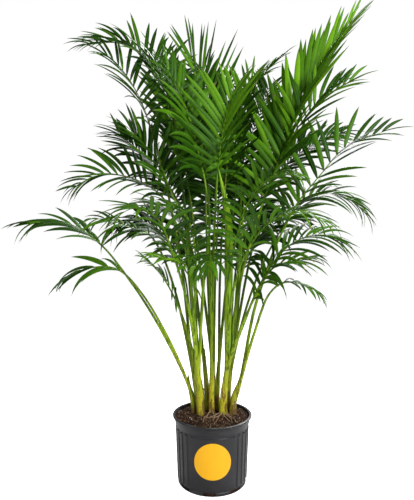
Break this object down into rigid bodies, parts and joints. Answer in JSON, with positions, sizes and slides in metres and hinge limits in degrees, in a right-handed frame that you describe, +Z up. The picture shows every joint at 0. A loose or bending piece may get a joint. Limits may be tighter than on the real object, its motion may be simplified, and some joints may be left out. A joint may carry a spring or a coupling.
{
  "type": "potted palm",
  "caption": "Feather palm in a ribbed round nursery pot: a clump of upright canes opening into long arching fronds of narrow leaflets, standing on the pot's flat underside.",
  "frame": {"origin": "middle of the pot's flat underside, on the surface it stands on", "axes": "+Z straight up through the pot's axis, -Y towards the front with the round label, +X to the right seen from the front"},
  "size_m": [1.184, 0.8293, 1.4694],
  "materials": {
    "pot_plastic": "satin moulded plastic",
    "label_paper": "semi-gloss plain sticker",
    "soil": "rough crumbly peat and bark",
    "cane": "smooth waxy stem",
    "young_leaf": "smooth waxy leaf",
    "leaf": "satin leaf"
  },
  "bodies": {
    "root": {"pot": "pot_plastic", "pot_label": "label_paper", "soil": "soil", "cane_1": "cane", "cane_2": "cane", "cane_3": "cane", "cane_4": "cane", "cane_5": "cane", "cane_6": "cane", "cane_7": "cane", "cane_8": "cane", "cane_9": "cane", "cane_10": "cane", "cane_11": "cane", "cane_12": "cane", "spear_1": "young_leaf", "spear_2": "young_leaf", "spear_3": "young_leaf", "frond_left_1": "leaf", "frond_left_2": "leaf", "frond_left_3": "leaf", "frond_left_4": "leaf", "frond_left_5": "leaf", "frond_left_6": "leaf", "frond_left_7": "leaf", "frond_left_8": "leaf", "frond_top_1": "leaf", "frond_top_2": "leaf", "frond_top_3": "leaf", "frond_top_4": "leaf", "frond_right_1": "leaf", "frond_right_2": "leaf", "frond_right_3": "leaf", "frond_right_4": "leaf", "frond_right_5": "leaf", "frond_right_6": "leaf", "frond_right_7": "leaf", "frond_front_1": "leaf", "frond_front_2": "leaf", "frond_front_3": "leaf", "frond_front_4": "leaf", "frond_front_5": "leaf", "frond_front_6": "leaf", "frond_front_7": "leaf", "frond_front_8": "leaf", "frond_back_1": "leaf", "frond_back_2": "leaf", "frond_back_3": "leaf", "frond_back_4": "leaf", "frond_back_5": "leaf", "frond_back_6": "leaf", "frond_back_7": "leaf", "frond_back_8": "leaf", "frond_back_9": "leaf"}
  },
  "joints": []
}
